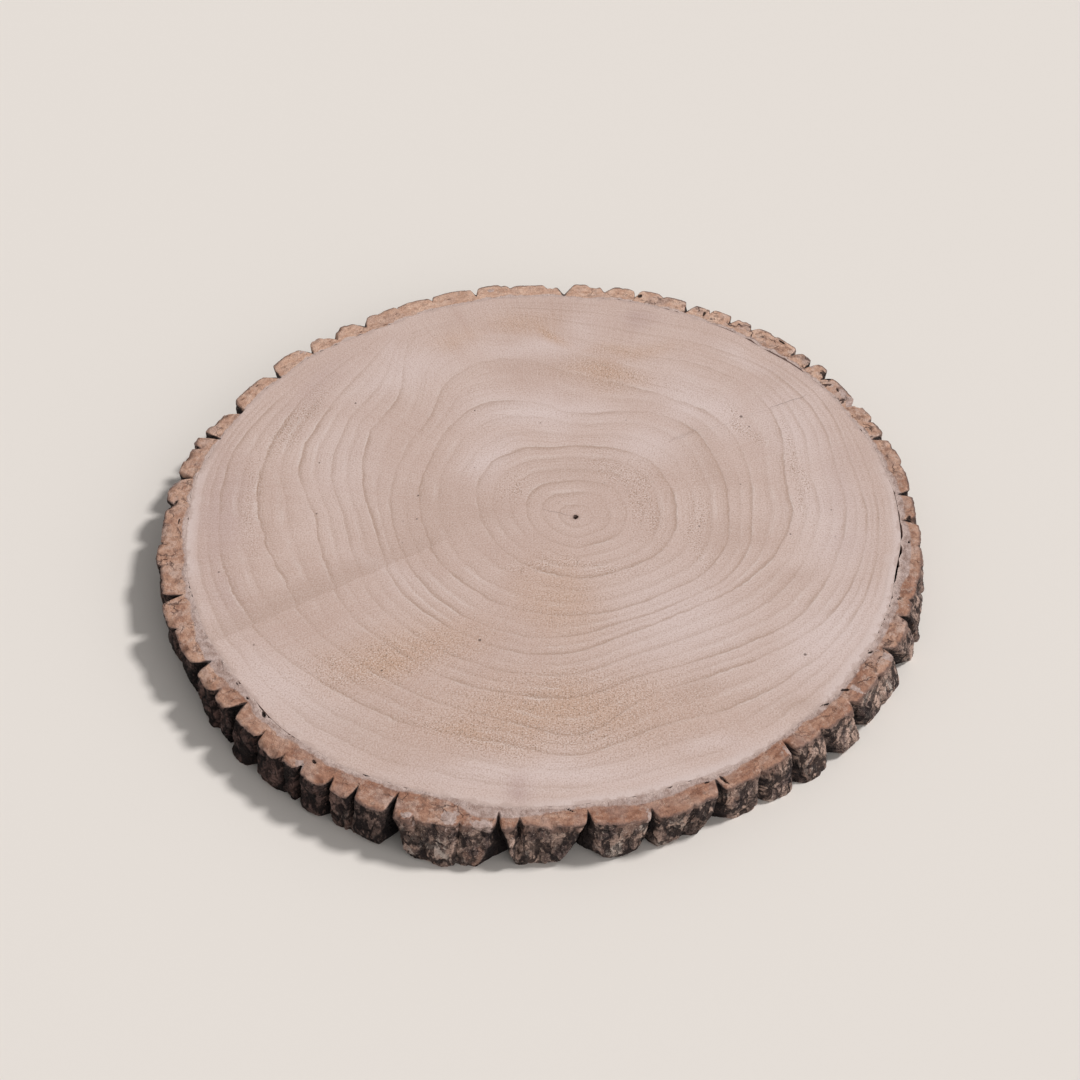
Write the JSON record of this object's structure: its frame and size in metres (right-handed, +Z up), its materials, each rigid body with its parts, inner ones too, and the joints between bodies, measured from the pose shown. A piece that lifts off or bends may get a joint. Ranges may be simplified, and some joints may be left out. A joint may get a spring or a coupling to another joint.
{
  "type": "wood slice",
  "caption": "Round flat slice of a tree trunk in its ring of ridged bark, for a board, tray, stand or table decoration.",
  "frame": {"origin": "middle of the slice's box, on the surface that it lies on", "axes": "+Z is up, along the trunk, out of the upper sawn face; -Y points to the side that the picture is taken from, and +X to the right in it"},
  "size_m": [0.3082, 0.3074, 0.02],
  "materials": {
    "wood": "bare sawn and lightly sanded, matt",
    "bark": "rough fissured bark, matt"
  },
  "bodies": {
    "root": {"wood": "wood", "bark": "bark"}
  },
  "joints": []
}
